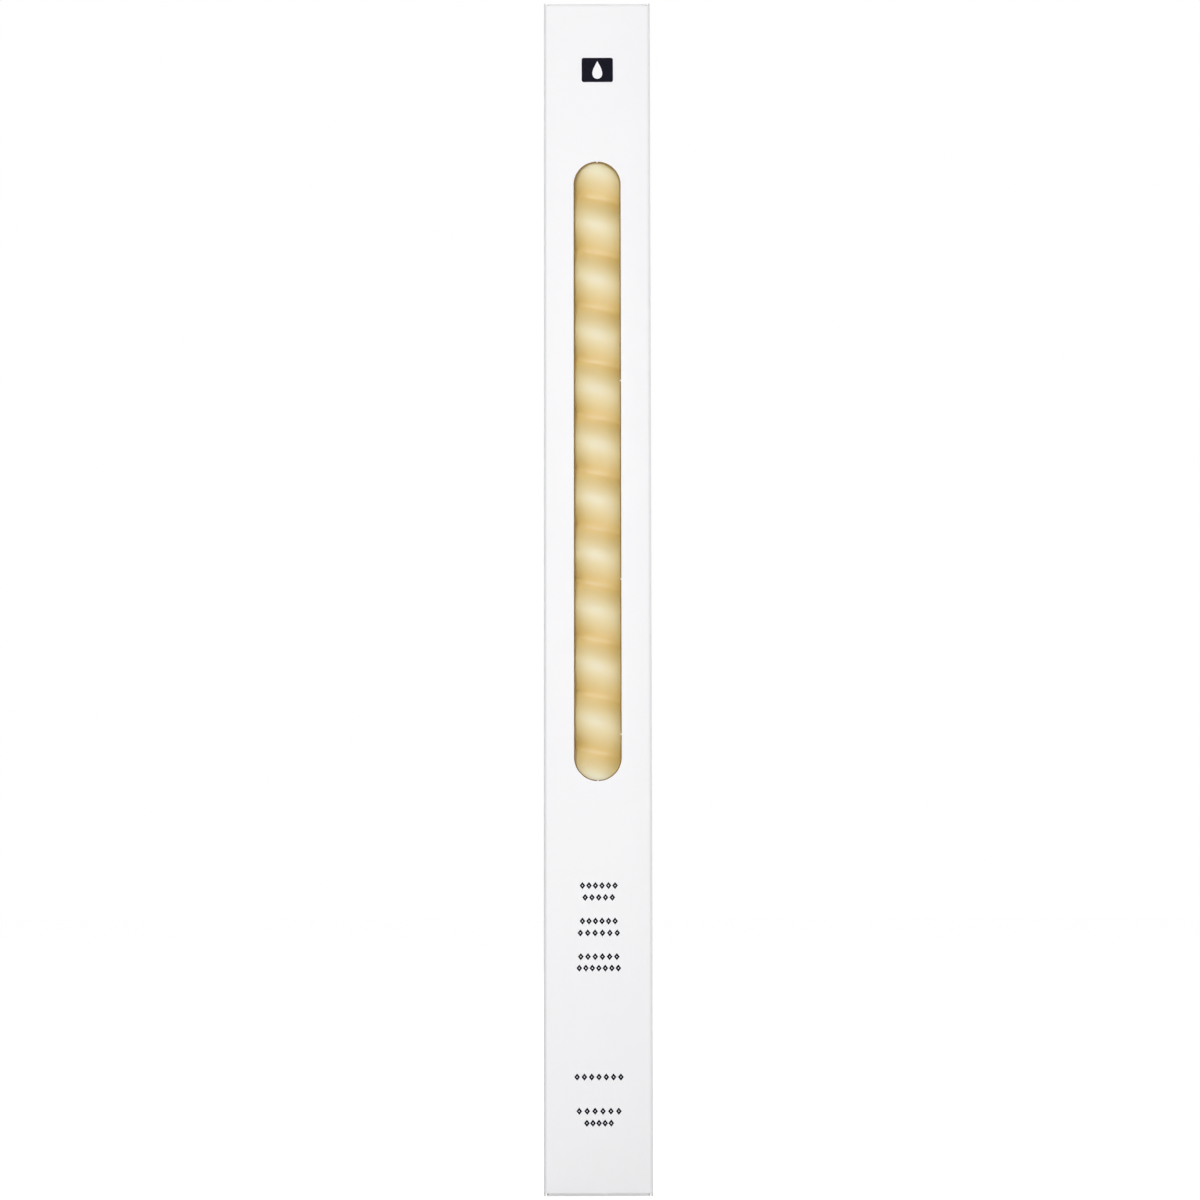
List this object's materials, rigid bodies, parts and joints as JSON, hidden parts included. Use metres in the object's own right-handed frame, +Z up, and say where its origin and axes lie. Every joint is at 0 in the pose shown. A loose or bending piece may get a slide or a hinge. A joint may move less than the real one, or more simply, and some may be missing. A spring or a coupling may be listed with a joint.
{
  "type": "spiral candle in window carton",
  "caption": "Tall left-hand spiral candle with a plain foot and wick, standing in a slim square tuck-end carton whose front has a long round-ended window.",
  "frame": {"origin": "middle of the carton's foot, on the surface it stands on", "axes": "+Z up along the candle, the windowed front faces -Y, +X to the right as seen from the front"},
  "size_m": [0.0258, 0.0258, 0.287],
  "materials": {
    "carton_board": "satin",
    "wax": "satin",
    "wick_cotton": "matte",
    "print_ink": "satin"
  },
  "bodies": {
    "carton_tube": {"front_panel": "carton_board", "back_panel": "carton_board", "left_side_panel": "carton_board", "right_side_panel": "carton_board", "glue_flap": "carton_board"},
    "top_lid": {"top_lid": "carton_board"},
    "top_tuck_tongue": {"top_tuck_tongue": "carton_board"},
    "top_left_dust_flap": {"top_left_dust_flap": "carton_board"},
    "top_right_dust_flap": {"top_right_dust_flap": "carton_board"},
    "bottom_lid": {"bottom_lid": "carton_board"},
    "bottom_tuck_tongue": {"bottom_tuck_tongue": "carton_board"},
    "bottom_left_dust_flap": {"bottom_left_dust_flap": "carton_board"},
    "bottom_right_dust_flap": {"bottom_right_dust_flap": "carton_board"},
    "candle": {"spiral_wax_body": "wax", "wick": "wick_cotton"}
  },
  "joints": [
    {"name": "top_lid_hinge", "type": "hinge", "parent": "carton_tube", "child": "top_lid", "pos_m": [0, 0.0125, 0.2866], "axis": [-1, 0, 0], "range_deg": [0, 120]},
    {"name": "top_tongue_crease", "type": "hinge", "parent": "top_lid", "child": "top_tuck_tongue", "pos_m": [0, -0.0118, 0.2866], "axis": [1, 0, 0], "range_deg": [0, 84]},
    {"name": "top_left_flap_crease", "type": "hinge", "parent": "carton_tube", "child": "top_left_dust_flap", "pos_m": [-0.0125, 0, 0.2859], "axis": [0, -1, 0], "range_deg": [0, 96]},
    {"name": "top_right_flap_crease", "type": "hinge", "parent": "carton_tube", "child": "top_right_dust_flap", "pos_m": [0.0125, 0, 0.2859], "axis": [0, 1, 0], "range_deg": [0, 96]},
    {"name": "bottom_lid_hinge", "type": "hinge", "parent": "carton_tube", "child": "bottom_lid", "pos_m": [0, 0.0125, 0.0004], "axis": [1, 0, 0], "range_deg": [0, 120]},
    {"name": "bottom_tongue_crease", "type": "hinge", "parent": "bottom_lid", "child": "bottom_tuck_tongue", "pos_m": [0, -0.0118, 0.0004], "axis": [-1, 0, 0], "range_deg": [0, 84]},
    {"name": "bottom_left_flap_crease", "type": "hinge", "parent": "carton_tube", "child": "bottom_left_dust_flap", "pos_m": [-0.0125, 0, 0.0011], "axis": [0, 1, 0], "range_deg": [0, 96]},
    {"name": "bottom_right_flap_crease", "type": "hinge", "parent": "carton_tube", "child": "bottom_right_dust_flap", "pos_m": [0.0125, 0, 0.0011], "axis": [0, -1, 0], "range_deg": [0, 96]},
    {"name": "candle_slide", "type": "slide", "parent": "carton_tube", "child": "candle", "axis": [0, 0, 1], "range_m": [0, 0.0042]}
  ],
  "couplings": [
    {"joint": "top_tongue_crease", "follows": "top_lid_hinge", "ratio": 0.7},
    {"joint": "top_left_flap_crease", "follows": "top_lid_hinge", "ratio": 0.8},
    {"joint": "top_right_flap_crease", "follows": "top_lid_hinge", "ratio": 0.8},
    {"joint": "bottom_tongue_crease", "follows": "bottom_lid_hinge", "ratio": 0.7},
    {"joint": "bottom_left_flap_crease", "follows": "bottom_lid_hinge", "ratio": 0.8},
    {"joint": "bottom_right_flap_crease", "follows": "bottom_lid_hinge", "ratio": 0.8}
  ]
}
